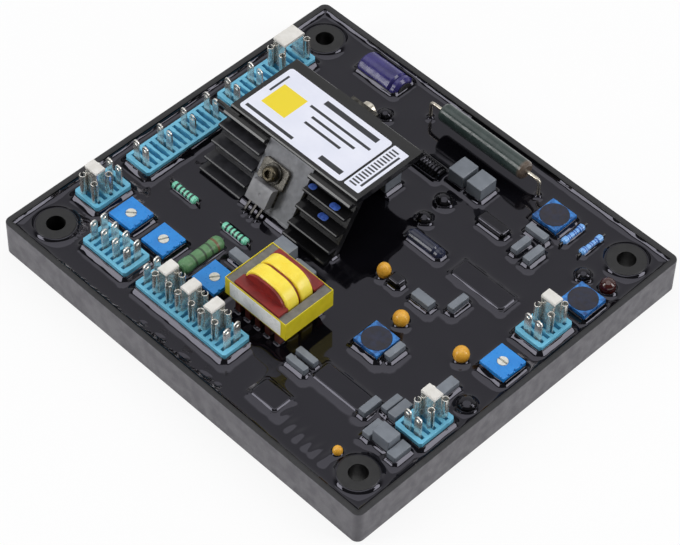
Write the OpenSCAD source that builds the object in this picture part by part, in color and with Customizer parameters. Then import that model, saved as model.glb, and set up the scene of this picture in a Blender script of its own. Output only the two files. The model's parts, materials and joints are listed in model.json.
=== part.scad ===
// Automatic voltage regulator: an open tray of potted electronics with a finned heatsink, a small
// transformer, seven terminal blocks with push-on links, and preset trimmers.
// Origin at the centre of the tray underside, X along the long side, Z up. All sizes in mm.

/* [Tray] */
// Length of the tray along X
tray_l = 150; // [146:1:160]
// Width of the tray along Y
tray_w = 135; // [132:1:145]
// Height of the tray rim
tray_h = 12.8; // [12.6:0.2:15]
// Thickness of the tray walls
tray_wall = 2; // [1.4:0.1:2.4]
// Thickness of the tray floor
tray_floor = 2; // [1.5:0.1:2.5]
// Radius of the upright tray corners
tray_r = 2.4; // [2:0.1:4]

/* [Fixing holes] */
// Distance of a hole from both tray sides
hole_inset = 11.25; // [10.6:0.05:12]
// Diameter of the fixing holes
hole_d = 5.8; // [4.5:0.1:6.5]
// Diameter of the corner bosses
boss_d = 13; // [12:0.1:13.6]
// Height of the boss tops
boss_top = 12.3; // [11.8:0.1:12.6]

/* [Board and resin] */
// Height of the board underside
board_z = 4; // [3:0.1:4.4]
// Thickness of the board
board_t = 1.6; // [1.2:0.1:2]
// Level of the potting resin
resin_z = 11; // [10:0.1:11.4]

/* [Heatsink] */
// Length of the heatsink along X
sink_l = 53.6; // [50:0.2:56]
// Height of the top plate
sink_top = 30.4; // [28:0.2:34]
// Thickness of the top plate
plate_t = 2.4; // [1.8:0.1:3]
// Thickness of one fin
fin_t = 1.2; // [0.8:0.1:1.6]
// Reach of the fins from the sloping wall
fin_reach = 4.2; // [3:0.1:5]
// Width of the flat between the two finned parts
flat_w = 18.7; // [17:0.1:20]

/* [Transformer] */
// Length of the core along X
core_l = 24.7; // [23:0.1:26]
// Width of the core along Y
core_w = 18.7; // [17.6:0.1:20]
// Height of the core stack
core_h = 6.7; // [6:0.1:9]
// Height of the core underside
core_z = 17; // [16:0.1:18]
// Height of the winding top above the core
coil_rise = 6; // [4:0.1:7]

/* [Terminals] */
// Width of a terminal block
block_w = 10.5; // [9.6:0.1:10.8]
// Height of the block tops
block_top = 14.3; // [13.4:0.1:16]
// Distance between the slots
slot_pitch = 2.42; // [2.2:0.02:2.5]
// Width of a slot
slot_w = 1.1; // [0.9:0.05:1.2]
// Width of a terminal tab
tab_w = 2.5; // [2.2:0.1:3]
// Thickness of a terminal tab
tab_t = 0.55; // [0.5:0.05:0.85]
// Height of the tab tips
tab_top = 21.8; // [19:0.1:24]
// Height of the link tops
link_top = 25.5; // [24:0.1:28]

/* [Trimmers] */
// Side of a trimmer housing
trim_w = 9.5; // [9:0.1:10]
// Height of the trimmer tops
trim_top = 14.5; // [13.6:0.1:16]
// Diameter of a trimmer rotor
rotor_d = 3.3; // [3:0.1:5]
// Width of the screwdriver slot
rotor_slot = 0.6; // [0.4:0.05:0.8]

/* [Other parts] */
// Length of the wirewound resistor tube
wire_l = 35; // [30:0.5:37]
// Diameter of the wirewound resistor tube
wire_d = 6.2; // [5:0.1:8]
// Height of the wirewound resistor axis
wire_z = 18; // [16:0.1:20]
// Diameter of the lying capacitor
can_d = 9.6; // [9:0.1:10.6]
// Length of the lying capacitor
can_l = 17; // [16:0.1:20]
// Height of the small film capacitors
film_top = 14.5; // [13.4:0.1:16]
// Height of the tall film capacitors
film_tall = 17; // [15:0.1:19]

/* [Hidden] */
// Which node to draw
$fn = 48;
eps = 0.03;
board_top = board_z + board_t;
in_l = tray_l - 2 * tray_wall;
in_w = tray_w - 2 * tray_wall;
in_r = max(tray_r - tray_wall, 0.4);
shoulder_d = boss_d + 3;
hole_x = tray_l / 2 - hole_inset;
hole_y = tray_w / 2 - hole_inset;

// Places on the board follow the tray when its length or width changes
function px(x) = x * tray_l / 150;
function py(y) = y * tray_w / 135;

// Heatsink places: slope is the forward run per mm of drop of the sloping wall
sink_x1 = px(3);
sink_x0 = sink_x1 - sink_l;
sink_y0 = py(3.2);
sink_y1 = sink_y0 + 28.1;
slope = 0.62;
flat_x1 = px(-14.3);
flat_x0 = flat_x1 - flat_w;
wall_run = 2.6;
function wall_y(z) = sink_y0 + 1.8 - slope * (sink_top - z);
fin_z = [sink_top - 4.6, sink_top - 9.5, sink_top - 14.4, sink_top - 17.8];

// Front power device, in the sloping frame of the flat
dev_x = px(-26);
dev_tilt = atan(slope);
dev_w = 8.3;
dev_h = 6.5;
dev_t = 4.4;
dev_z = resin_z + 8.7;
tab_h = 7;
frame_w = 10.6;
frame_cut = 0.9;
frame_t = 1.3;

// Rear power device, upright on the short rear wall
rear_x = flat_x0 + flat_w / 2 + 1.2;
rear_tab_top = sink_top - 0.1;
rear_body_top = sink_top - 7;
rear_body_z = sink_top - 15.6;

// Transformer places
core_x = px(6.24);
core_y = py(-31.38);
core_top = core_z + core_h;
limb = 3;
yoke = 3.4;
leg_w = 6;
coil_w = core_l - 2 * limb - 0.3;
coil_top = core_top + coil_rise;
coil_bottom = resin_z + 0.3;
coil_len = core_w - 2 * yoke;
flange_t = 0.8;
tube_t = 0.9;
tape_t = 0.25;
pin_step = 4.1;
foot_t = 0.9;
post_w = 2.1;
post_z = resin_z + 0.6;

// Terminal blocks: centre, turn, number of slots
block_a = [-63.25, 30.2, 90, 13];
block_b = [-63.25, -7.65, 90, 13];
block_c = [-63.35, -37.8, 90, 5];
block_d = [-42.85, -50.8, 0, 7];
block_e = [-9.95, -50.85, 0, 15];
block_f = [64.8, 18.5, 90, 5];
block_g = [64.9, -31.15, 90, 5];
all_blocks = [block_a, block_b, block_c, block_d, block_e, block_f, block_g];
block_end = 1;
block_cut = 0.7;
block_rim = 1.05;
slot_l = block_w - 2 * block_rim;
waist_w = slot_w + 0.4;
waist_l = slot_l * 0.55;
slot_floor = block_top - 3;
tab_v = 2;
tab_hole = 1.3;

// Slots that carry a bare pair of tabs, and slot pairs joined by a link, block by block
tab_slots = [[0, 4], [0, 4, 8, 12], [4], [0, 2, 4, 6], [0, 14], [0], [0]];
link_slots = [[[8, 12]], [], [[0, 2]], [], [[2, 4], [6, 8], [10, 12]], [[2, 4]], [[2, 4]]];
link_w = 5.05;
link_t = 0.5;
cap_t = 1.05;
cap_edge = 0.45;
curl_d = 2.2;
curl_wall = 0.3;
curl_v = 2.6;
curl_out = 0.45;
curl_top = tab_top + 0.2;

// Trimmer places and the resting angle of each screwdriver slot
open_trims = [[-49.8, -38.6, 40], [-35.5, -38.6, 65], [-14.3, -37.75, 55], [65.7, 0.2, 0]];
sealed_trims = [[38.3, 52.2], [66.1, 34.1], [34.8, -19.9]];
rotor_gap = 0.05;
rotor_depth = 2.4;
rotor_proud = 0.15;
seal_r = trim_w / 2 - 0.15;

// Film capacitors: centre and sides
film_small = [
    [39, 43.9, 7.6, 2.5], [38.9, 36.9, 2.4, 6.8], [44.1, 36.8, 2.6, 7.2], [41.4, 7.2, 2.4, 7],
    [33.3, 0.9, 7.2, 3.3], [41.2, -18.9, 2.4, 6.8], [60.6, -17.4, 3.4, 6.8], [25.2, -38.5, 7.4, 2.2],
    [25.2, -42.4, 7.4, 2.2], [50.3, -38.1, 2.6, 7], [54, -33.1, 2.4, 6.7], [57.2, -33, 3.2, 7.2],
    [66.9, -43.5, 3.4, 6.6], [56.7, -43.1, 3, 6.5], [-15, -26.6, 7.4, 3]
];
film_large = [[7.65, 44.8, 6, 7.1], [14.95, 44.9, 6, 7.1], [-7.2, 26.5, 6.4, 7],
    [-7.5, -15.6, 6.6, 4.4], [2.8, -17.8, 7.2, 3.3], [61.6, -43.15, 6.5, 4.9]];

// Black parts: round ones as centre and radius, boxes as centre and sides
black_round = [[58.8, 42.6, 2.4], [68, -17, 2.9], [9.9, 34.2, 2.6], [10.7, 24.7, 2.5], [-27.3, 46.6, 2.3]];
black_box = [[27.6, 37.1, 10.6, 4.2], [22.6, 0.8, 4.8, 4]];
round_top = 13.9;
dome = 1.8;
box_top = 14.2;

// Parts covered by a skin of resin: centre and sides
chips = [[40.9, 18.5, 19.9, 6.2], [39.2, -37.9, 18, 6.2]];
square_module = [27, -54.6, 9.6, 6.4];
chip_top = resin_z + 0.9;
skin = 0.8;

// Bead capacitors: centre, radius and height
beads = [[17.7, 0.5, 2.2, 6], [33.8, -8.8, 2.5, 5.6], [55.1, -5.8, 2.5, 5.6], [54.4, -55.1, 1.5, 3.6]];

// Lying parts
choke_x = px(-3.4);
choke_y = py(40.9);
choke_z = resin_z + 0.4;
choke_r = 2.9;
rib_pitch = 1.2;
rib_depth = 0.35;
ribs = 10;
can_x = px(-39.7);
can_y = py(58.95);
can_z = board_top + can_d / 2;
wire_x = px(5.3);
wire_y = py(56.5);
wire_lead = 1.2;
wire_out = 5.1;
green_x = px(-24.1);
green_y = py(-34.1);
green_z = resin_z + 2.2;
axial_x = px(18.4);
axial_y = py(17.6);
axial_z = resin_z + 0.8;
small_z = resin_z + 1;
teal_size = [10.2, 1.3, 1.15];
blue_size = [9.4, 1.15, 0.85];
teal_places = [[-46.2, -20.1], [-23.8, -20.4]];
blue_places = [[46, 52.2], [52.6, 53]];
led_x = px(67.1);
led_y = py(44);
led_d = 5;
led_top = 15.6;

// Rounded rectangle in the plane, centred
module round_rect(w, d, r) {
    square([w, d - 2 * r], center = true);
    square([w - 2 * r, d], center = true);
    for (sx = [-1, 1], sy = [-1, 1])
        translate([sx * (w / 2 - r), sy * (d / 2 - r)])
            circle(r);
}

// Rectangle with cut corners in the plane, centred
module cut_rect(w, d, c) {
    polygon([
        [-w / 2 + c, -d / 2], [w / 2 - c, -d / 2], [w / 2, -d / 2 + c], [w / 2, d / 2 - c],
        [w / 2 - c, d / 2], [-w / 2 + c, d / 2], [-w / 2, d / 2 - c], [-w / 2, -d / 2 + c]
    ]);
}

// Upright box on a place given as centre and sides
module upright(p, z0, z1) {
    translate([px(p[0]) - p[2] / 2, py(p[1]) - p[3] / 2, z0])
        cube([p[2], p[3], z1 - z0]);
}

// Turns a drawing of Y and Z into a bar along X
module along_x(x0, x1) {
    translate([x0, 0, 0])
        rotate([90, 0, 90])
            linear_extrude(x1 - x0)
                children();
}

// Four children at the fixing holes
module at_holes() {
    for (sx = [-1, 1], sy = [-1, 1])
        translate([sx * hole_x, sy * hole_y, 0])
            children();
}

// Solid of revolution lying along X, from a profile of length and radius
module lathe_x(points) {
    rotate([0, 90, 0])
        rotate_extrude()
            polygon([for (p = points) [p[1], p[0]]]);
}

module tray() {
    color([0.10, 0.10, 0.11])
        difference() {
            union() {
                difference() {
                    linear_extrude(tray_h)
                        round_rect(tray_l, tray_w, tray_r);
                    translate([0, 0, tray_floor])
                        linear_extrude(tray_h)
                            round_rect(in_l, in_w, in_r);
                }
                at_holes()
                    translate([0, 0, tray_floor / 2])
                        cylinder(d = shoulder_d, h = board_z - tray_floor / 2);
                at_holes()
                    rotate_extrude()
                        polygon([
                            [0, tray_floor / 2], [boss_d / 2, tray_floor / 2], [boss_d / 2, boss_top - 0.5],
                            [boss_d / 2 - 0.5, boss_top], [0, boss_top]
                        ]);
            }
            at_holes()
                translate([0, 0, -1])
                    cylinder(d = hole_d, h = tray_h + 2);
        }
}

module board_blank() {
    translate([0, 0, board_z])
        linear_extrude(board_t)
            round_rect(in_l - 2.4, in_w - 2.4, 1.5);
}

module circuit_board() {
    color([0.12, 0.30, 0.16])
        difference() {
            board_blank();
            at_holes()
                cylinder(d = boss_d + 2 * eps, h = tray_h);
        }
}

// Low mound of resin over a part
module mound(p) {
    translate([px(p[0]), py(p[1]), resin_z - 0.2])
        linear_extrude(chip_top + skin - resin_z + 0.2)
            cut_rect(p[2] + 2 * skin, p[3] + 2 * skin, 0.9);
}

module potting_resin() {
    color([0.03, 0.03, 0.035])
        difference() {
            union() {
                translate([0, 0, tray_floor])
                    linear_extrude(resin_z - tray_floor)
                        round_rect(in_l, in_w, in_r);
                for (p = chips)
                    mound(p);
                mound(square_module);
            }
            at_holes()
                cylinder(d = boss_d + 2 * eps, h = tray_h);
            at_holes()
                cylinder(d = shoulder_d + 2 * eps, h = board_z);
            board_blank();
            resin_pockets();
        }
}

// Room in the resin for everything that stands on the board
module resin_pockets() {
    for (b = all_blocks)
        block_solid(b);
    for (t = open_trims)
        upright([t[0], t[1], trim_w, trim_w], board_top, trim_top);
    for (t = sealed_trims)
        upright([t[0], t[1], trim_w, trim_w], board_top, trim_top);
    for (p = film_small)
        upright(p, board_top, film_top);
    for (p = film_large)
        upright(p, board_top, film_tall);
    for (p = black_box)
        upright(p, board_top, box_top);
    for (p = chips)
        upright(p, board_top, chip_top);
    upright(square_module, board_top, chip_top);
    for (p = black_round)
        translate([px(p[0]), py(p[1]), board_top])
            cylinder(r = p[2] + eps, h = tray_h);
    for (p = beads)
        bead(p, eps);
    translate([led_x, led_y, board_top])
        cylinder(d = led_d + 2 * eps, h = tray_h);
    can_solid(eps);
    can_end(eps);
    axial_solid(eps);
    choke_solid(eps);
    green_solid(eps);
    green_wires(eps);
    for (p = teal_places)
        translate([px(p[0]), py(p[1]), 0])
            small_resistor(teal_size, eps);
    for (p = blue_places)
        translate([px(p[0]), py(p[1]), 0])
            rotate(90)
                small_resistor(blue_size, eps);
    small_wires(eps);
    wire_legs(eps);
    sink_walls();
    thyristor_legs();
    rear_legs();
    pin_rows();
}

// Front wall that slopes forward to the board, and the short upright wall at the rear
module sink_walls() {
    along_x(sink_x0, sink_x1)
        polygon([
            [wall_y(sink_top), sink_top], [wall_y(board_top), board_top],
            [wall_y(board_top) + wall_run, board_top], [wall_y(sink_top) + wall_run, sink_top]
        ]);
    along_x(flat_x0, flat_x1)
        translate([sink_y1 - 2, board_top])
            square([2, sink_top - board_top]);
}

// One fin in Y and Z: its tip is eased at both edges
module fin(z, reach) {
    y = wall_y(z);
    polygon([
        [y + 1, z], [y - reach + 0.3, z], [y - reach, z - 0.3],
        [y - reach, z - fin_t + 0.3], [y - reach + 0.3, z - fin_t], [y + 1, z - fin_t]
    ]);
}

module heatsink() {
    color([0.06, 0.06, 0.065])
        union() {
            sink_walls();
            along_x(sink_x0, sink_x1)
                polygon([
                    [sink_y0, sink_top - plate_t], [sink_y0, sink_top - 0.4], [sink_y0 + 0.4, sink_top],
                    [sink_y1 - 0.4, sink_top], [sink_y1, sink_top - 0.4], [sink_y1, sink_top - plate_t]
                ]);
            for (span = [[sink_x0, flat_x0], [flat_x1, sink_x1]]) {
                along_x(span[0], span[1])
                    for (z = fin_z)
                        fin(z, fin_reach);
                along_x(span[0], span[1])
                    polygon([
                        [sink_y0 + 0.5, sink_top - plate_t], [sink_y0 - 2.6, sink_top - 2.2],
                        [sink_y0 - 3.2, sink_top - 1.6], [sink_y0 - 3.2, sink_top - 0.9],
                        [sink_y0 - 2.7, sink_top - 0.4], [sink_y0 - 1.6, sink_top - 0.4],
                        [sink_y0 - 0.9, sink_top - 1.4], [sink_y0 + 0.5, sink_top - 1.4]
                    ]);
            }
            translate([sink_x0 - 4.2, sink_y0 - 1.1, sink_top - 1])
                rotate([0, 90, 0])
                    cylinder(r = 0.75, h = 9);
        }
}

// Grey plate on the flat, with a foot turned forward at the resin
module mounting_plate() {
    t = 1.8;
    z0 = resin_z + 0.2;
    z1 = sink_top - 0.6;
    seat = sink_top - plate_t;
    color([0.45, 0.45, 0.46])
        along_x(flat_x0 + 0.1, flat_x1 - 0.1)
            polygon([
                [wall_y(seat), seat], [sink_y0, seat], [sink_y0, z1], [wall_y(z1) - t, z1],
                [wall_y(z0 + 1.4) - t, z0 + 1.4], [wall_y(z0 + 0.8) - t - 0.9, z0 + 0.8],
                [wall_y(z0) - t - 0.9, z0], [wall_y(z0), z0]
            ]);
}

// Frame of the front device: local Y runs up the slope, local Z out of the plate
module on_slope(z) {
    translate([dev_x, wall_y(z) - 1.8, z])
        rotate([90 - dev_tilt, 0, 0])
            children();
}

module thyristor_body() {
    color([0.30, 0.30, 0.31])
        difference() {
            on_slope(dev_z)
                difference() {
                    translate([-dev_w / 2, -dev_h, frame_t])
                        cube([dev_w, dev_h, dev_t - frame_t]);
                    translate([-dev_w / 2 - 1, -0.9, dev_t])
                        rotate([-30, 0, 0])
                            cube([dev_w + 2, 4, 4]);
                    translate([0.6, -dev_h / 2, dev_t - 0.15])
                        cylinder(r = 0.45, h = 1);
                }
            thyristor_legs();
        }
}

// Three legs that run down the slope, turn down and stand on the board
module thyristor_legs() {
    run = 3.6;
    y0 = wall_y(dev_z) - 1.8 - 2 * cos(dev_tilt) - dev_h * sin(dev_tilt);
    z0 = dev_z + 2 * sin(dev_tilt) - dev_h * cos(dev_tilt);
    for (i = [-1, 0, 1])
        along_x(dev_x + i * 2.54 - 0.45, dev_x + i * 2.54 + 0.45)
            polygon([
                [y0 + 0.25, z0 + 0.15], [y0 - 0.25, z0 + 0.5], [y0 - run + 0.6, z0 - 1.6],
                [y0 - run, z0 - 2.3], [y0 - run, board_top], [y0 - run + 0.6, board_top],
                [y0 - run + 0.6, z0 - 2.5]
            ]);
}

module thyristor_frame() {
    color([0.62, 0.62, 0.63]) {
        on_slope(dev_z)
            difference() {
                linear_extrude(frame_t) {
                    translate([-dev_w / 2, -dev_h + 0.4])
                        square([dev_w, dev_h]);
                    translate([0, tab_h / 2 - 0.3])
                        cut_rect(frame_w, tab_h + 0.6, frame_cut);
                }
                translate([0, tab_h / 2, -1])
                    cylinder(d = 3.6, h = 4);
            }
        thyristor_legs();
    }
}

module thyristor_washer() {
    color([0.48, 0.44, 0.38])
        on_slope(dev_z)
            translate([0, tab_h / 2, frame_t])
                difference() {
                    cylinder(d = 6.6, h = 0.7);
                    translate([0, 0, -1])
                        cylinder(d = 3.4, h = 3);
                }
}

module socket_screw(d, h, shank, reach) {
    difference() {
        union() {
            cylinder(d = d, h = h - 0.5);
            translate([0, 0, h - 0.5])
                cylinder(d1 = d, d2 = d - 1, h = 0.5);
            translate([0, 0, -reach])
                cylinder(d = shank, h = reach + 0.5);
        }
        translate([0, 0, h - 1.4])
            cylinder(d = d * 0.52, h = 3, $fn = 6);
    }
}

module thyristor_screw() {
    color([0.42, 0.38, 0.32])
        on_slope(dev_z)
            translate([0, tab_h / 2, frame_t + 0.7])
                socket_screw(5, 2.2, 2.9, frame_t + 0.7);
}

module rear_device_body() {
    color([0.08, 0.08, 0.085])
        difference() {
            translate([rear_x - dev_w / 2, sink_y1, rear_body_z])
                cube([dev_w, dev_t, rear_body_top - rear_body_z]);
            translate([rear_x - dev_w / 2 - 1, sink_y1 - 1, rear_body_z - 1])
                cube([dev_w + 2, frame_t + 1, rear_body_top - rear_body_z + 2]);
        }
}

module rear_legs() {
    for (i = [-1, 0, 1])
        translate([rear_x + i * 2.54 - 0.45, sink_y1 + 2, board_top])
            cube([0.9, 0.6, rear_body_z - board_top]);
}

module rear_device_frame() {
    color([0.62, 0.62, 0.63]) {
        difference() {
            translate([rear_x - frame_w / 2, sink_y1, rear_body_z + 0.4])
                cube([frame_w, frame_t, rear_tab_top - rear_body_z - 0.4]);
            translate([rear_x, sink_y1 - 1, rear_tab_top - 3.2])
                rotate([-90, 0, 0])
                    cylinder(d = 3.4, h = 4);
        }
        rear_legs();
    }
}

module rear_device_screw() {
    color([0.52, 0.49, 0.44])
        translate([rear_x, sink_y1 + frame_t, rear_tab_top - 3.2])
            rotate([-90, 0, 0])
                socket_screw(5.4, 2.4, 2.9, frame_t);
}

module at_core() {
    translate([core_x, core_y, 0])
        children();
}

module transformer_core() {
    window = (core_l - 2 * limb - leg_w) / 2;
    color([0.33, 0.33, 0.32])
        at_core()
            translate([0, 0, core_z])
                linear_extrude(core_h)
                    difference() {
                        square([core_l, core_w], center = true);
                        for (s = [-1, 1])
                            translate([s * (leg_w + window) / 2, 0])
                                square([window, coil_len], center = true);
                    }
}

// Arched outline of the coil in X and Z
module coil_outline(grow) {
    w = coil_w / 2 + grow;
    r = 6.4;
    polygon(concat(
        [[-w, coil_bottom + 2], [-w + 2, coil_bottom], [w - 2, coil_bottom], [w, coil_bottom + 2]],
        [for (a = [0:9:90]) [w - r + r * cos(a), coil_top + grow - r + r * sin(a)]],
        [for (a = [90:9:180]) [-w + r + r * cos(a), coil_top + grow - r + r * sin(a)]]
    ));
}

module tube_outline(grow) {
    translate([0, core_z + core_h / 2])
        square([leg_w + 2 * grow, core_h + 2 * grow], center = true);
}

// Turns a drawing of X and Z into a bar along Y
module along_y(y0, y1) {
    translate([0, y1, 0])
        rotate([90, 0, 0])
            linear_extrude(y1 - y0)
                children();
}

module transformer_bobbin() {
    half = coil_len / 2;
    rail = core_w / 2 - half - 0.3;
    color([0.45, 0.09, 0.08])
        at_core() {
            for (y = [-half, -flange_t / 2, half - flange_t])
                along_y(y, y + flange_t)
                    difference() {
                        coil_outline(-0.9);
                        tube_outline(0.1);
                    }
            along_y(-half, half)
                difference() {
                    tube_outline(tube_t);
                    tube_outline(0.1);
                }
            for (s = [-1, 1]) {
                translate([-coil_w / 2, s > 0 ? half - flange_t : -half - rail, core_top])
                    cube([coil_w, rail + flange_t, 0.9]);
                translate([-coil_w / 2, s > 0 ? half - flange_t : -half - rail, core_z - foot_t])
                    cube([coil_w, rail + flange_t, foot_t]);
                for (i = [-2:2])
                    translate([i * pin_step - post_w / 2, s * (core_w / 2 - yoke / 2) - post_w / 2, post_z])
                        cube([post_w, post_w, core_z - post_z]);
            }
        }
}

module winding(y0, y1) {
    color([0.98, 0.82, 0.10])
        at_core()
            along_y(y0, y1)
                difference() {
                    coil_outline(-0.3);
                    tube_outline(tube_t);
                }
}

module front_winding() {
    winding(-coil_len / 2 + flange_t, -flange_t / 2);
}

module rear_winding() {
    winding(flange_t / 2, coil_len / 2 - flange_t);
}

module transformer_tape() {
    color([0.86, 0.78, 0.12])
        at_core()
            translate([0, 0, core_z])
                linear_extrude(core_h + 0.3)
                    difference() {
                        square([core_l + 2 * tape_t, core_w + 2 * tape_t], center = true);
                        square([core_l, core_w], center = true);
                    }
}

module pin_rows() {
    at_core()
        for (s = [-1, 1], i = [-2:2])
            translate([i * pin_step - 0.4, s * (core_w / 2 - yoke / 2) - 0.4, board_top])
                cube([0.8, 0.8, post_z - board_top]);
}

module transformer_pins() {
    color([0.70, 0.68, 0.62])
        pin_rows();
}

// Children in a block's own frame: local X along the block
module at_block(b) {
    translate([px(b[0]), py(b[1]), 0])
        rotate(b[2])
            children();
}

function block_l(b) = b[3] * slot_pitch + 2 * block_end;
function slot_u(b, i) = (i - (b[3] - 1) / 2) * slot_pitch;

module block_solid(b) {
    at_block(b)
        translate([0, 0, board_top])
            linear_extrude(block_top - board_top)
                cut_rect(block_l(b), block_w, block_cut);
}

module terminal_block(b) {
    color([0.33, 0.70, 0.85])
        difference() {
            block_solid(b);
            at_block(b)
                for (i = [0:b[3] - 1])
                    translate([slot_u(b, i), 0, slot_floor])
                        linear_extrude(4) {
                            square([slot_w, slot_l], center = true);
                            square([waist_w, waist_l], center = true);
                        }
        }
}

module block_a() {
    terminal_block(block_a);
}

module block_b() {
    terminal_block(block_b);
}

module block_c() {
    terminal_block(block_c);
}

module block_d() {
    terminal_block(block_d);
}

module block_e() {
    terminal_block(block_e);
}

module block_f() {
    terminal_block(block_f);
}

module block_g() {
    terminal_block(block_g);
}

// Flat tab with a round tip and a hole
module tab() {
    r = tab_w / 2;
    translate([-tab_t / 2, 0, 0])
        rotate([90, 0, 90])
            linear_extrude(tab_t)
                difference() {
                    polygon(concat(
                        [[-r, slot_floor], [r, slot_floor]],
                        [for (a = [0:15:180]) [r * cos(a), tab_top - r + r * sin(a)]]
                    ));
                    translate([0, tab_top - r - 0.1])
                        circle(d = tab_hole, $fn = 24);
                }
}

module terminal_tabs() {
    color([0.72, 0.71, 0.69])
        for (k = [0:6])
            at_block(all_blocks[k])
                for (i = tab_slots[k], s = [-1, 1])
                    translate([slot_u(all_blocks[k], i), s * tab_v, 0])
                        tab();
}

// Children at each link, with its half length as $half
module at_links() {
    for (k = [0:6])
        at_block(all_blocks[k])
            for (pair = link_slots[k])
                translate([(slot_u(all_blocks[k], pair[0]) + slot_u(all_blocks[k], pair[1])) / 2, 0, 0]) {
                    $half = (pair[1] - pair[0]) * slot_pitch / 2;
                    children();
                }
}

// Two upright sheets of each link, with the rolled receptacles at their edges
module link_bodies() {
    color([0.80, 0.79, 0.76])
        at_links()
            difference() {
                for (e = [-1, 1])
                    translate([e * ($half - curl_out - 0.2) - (e + 1) * link_t / 2, -link_w / 2, block_top])
                        cube([link_t, link_w, link_top - cap_t - block_top]);
                for (e = [-1, 1], s = [-1, 1])
                    translate([e * ($half + curl_out), s * curl_v, block_top - 1])
                        cylinder(d = curl_d + 2 * eps, h = curl_top - block_top + 1.3, $fn = 24);
            }
}

// Cap in X and Z: flat top, bent down at both ends
module cap_outline(w) {
    z0 = link_top - cap_t;
    r = cap_t - cap_edge;
    polygon(concat(
        [[-w, z0], [w, z0]],
        [for (a = [0:30:90]) [w - r + r * cos(a), z0 + cap_edge + r * sin(a)]],
        [for (a = [90:30:180]) [-w + r + r * cos(a), z0 + cap_edge + r * sin(a)]]
    ));
}

module link_caps() {
    color([0.92, 0.91, 0.88])
        at_links()
            along_y(-link_w / 2 - 0.1, link_w / 2 + 0.1)
                cap_outline($half - curl_out - 0.1);
}

// Rolled receptacle, open at one side
module curl() {
    translate([0, 0, block_top])
        linear_extrude(curl_top - block_top)
            difference() {
                circle(d = curl_d, $fn = 24);
                circle(d = curl_d - 2 * curl_wall, $fn = 24);
                translate([0.2, -0.35])
                    square([curl_d, 0.7]);
            }
}

module link_contacts() {
    color([0.80, 0.79, 0.76])
        at_links()
            for (s = [-1, 1], e = [-1, 1])
                translate([e * ($half + curl_out), s * curl_v, 0])
                    rotate(s * 90 + e * 25)
                        curl();
}

module trimmer_box(t) {
    upright([t[0], t[1], trim_w, trim_w], board_top, trim_top);
}

// Open trimmer: round well for the rotor and three nicks along one edge
module open_trimmer(t) {
    color([0.14, 0.46, 0.86])
        difference() {
            trimmer_box(t);
            translate([px(t[0]), py(t[1]), trim_top - rotor_depth])
                cylinder(d = rotor_d + 2 * rotor_gap, h = 5);
            for (y = [-2.6, 0.1, 2.8])
                translate([px(t[0]) + trim_w / 2 - 0.5, py(t[1]) + y - 0.35, trim_top - 0.8])
                    cube([1, 0.7, 2]);
        }
}

module rotor(t) {
    color([0.93, 0.93, 0.90])
        translate([px(t[0]), py(t[1]), trim_top - rotor_depth])
            difference() {
                cylinder(d = rotor_d, h = rotor_depth + rotor_proud);
                rotate(t[2])
                    translate([-rotor_d, -rotor_slot / 2, rotor_depth + rotor_proud - 0.8])
                        cube([2 * rotor_d, rotor_slot, 2]);
            }
}

module trimmer_one() {
    open_trimmer(open_trims[0]);
}

module trimmer_two() {
    open_trimmer(open_trims[1]);
}

module trimmer_three() {
    open_trimmer(open_trims[2]);
}

module trimmer_four() {
    open_trimmer(open_trims[3]);
}

module rotor_one() {
    rotor(open_trims[0]);
}

module rotor_two() {
    rotor(open_trims[1]);
}

module rotor_three() {
    rotor(open_trims[2]);
}

module rotor_four() {
    rotor(open_trims[3]);
}

module sealed_trimmers() {
    color([0.14, 0.42, 0.80])
        for (t = sealed_trims)
            difference() {
                trimmer_box(t);
                translate([px(t[0]), py(t[1]), trim_top - 0.3])
                    cylinder(r = seal_r, h = 2);
            }
}

module trimmer_seals() {
    color([0.17, 0.14, 0.18])
        for (t = sealed_trims)
            translate([px(t[0]), py(t[1]), trim_top - 0.3])
                cylinder(r = seal_r - eps, h = 0.4);
}

// Lying capacitor: eased rear end, rolled groove near the front end
module can_solid(grow) {
    r = can_d / 2 + grow;
    h = can_l / 2;
    g = grow;
    translate([can_x, can_y, can_z])
        lathe_x([
            [-h - g, 0], [-h - g, r - 0.8], [-h + 0.8, r], [h - 3.5, r], [h - 2.8, r - 0.7],
            [h - 2.1, r], [h - 0.9, r], [h + g, r - 0.9], [h + g, 0]
        ]);
}

module can_sleeve() {
    color([0.20, 0.16, 0.45])
        can_solid(0);
}

module can_end(grow) {
    translate([can_x + can_l / 2, can_y, can_z])
        rotate([0, 90, 0])
            cylinder(r = can_d / 2 - 1.5 + grow, h = 0.5 + grow);
}

module can_seal() {
    color([0.05, 0.05, 0.055])
        can_end(0);
}

module axial_solid(grow) {
    r = 2.2 + grow;
    h = 7;
    g = grow;
    translate([axial_x, axial_y, axial_z])
        lathe_x([
            [-h - g, 0], [-h - g, r - 1.3], [-h + 0.4, r - 0.5], [-h + 1.3, r],
            [h - 3.4, r], [h - 2.9, r - 0.4], [h - 2.4, r],
            [h - 1.3, r], [h - 0.4, r - 0.5], [h + g, r - 1.3], [h + g, 0]
        ]);
}

module axial_capacitor() {
    color([0.07, 0.08, 0.14])
        axial_solid(0);
}

// Dipped bead on two short wires
module bead(p, grow) {
    r = p[2] + grow;
    half = p[3] / 2 + grow;
    mid = resin_z - 0.6 + p[3] / 2;
    translate([px(p[0]), py(p[1]), 0]) {
        translate([0, 0, mid])
            rotate_extrude()
                polygon([for (a = [-90:12:90]) [r * cos(a), half * sin(a)]]);
        for (s = [-1, 1])
            translate([s * p[2] * 0.4, 0, board_top])
                cylinder(r = 0.3 + grow, h = mid - half / 2 - board_top, $fn = 16);
    }
}

module bead_capacitors() {
    color([0.85, 0.55, 0.10])
        for (p = beads)
            bead(p, 0);
}

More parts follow.
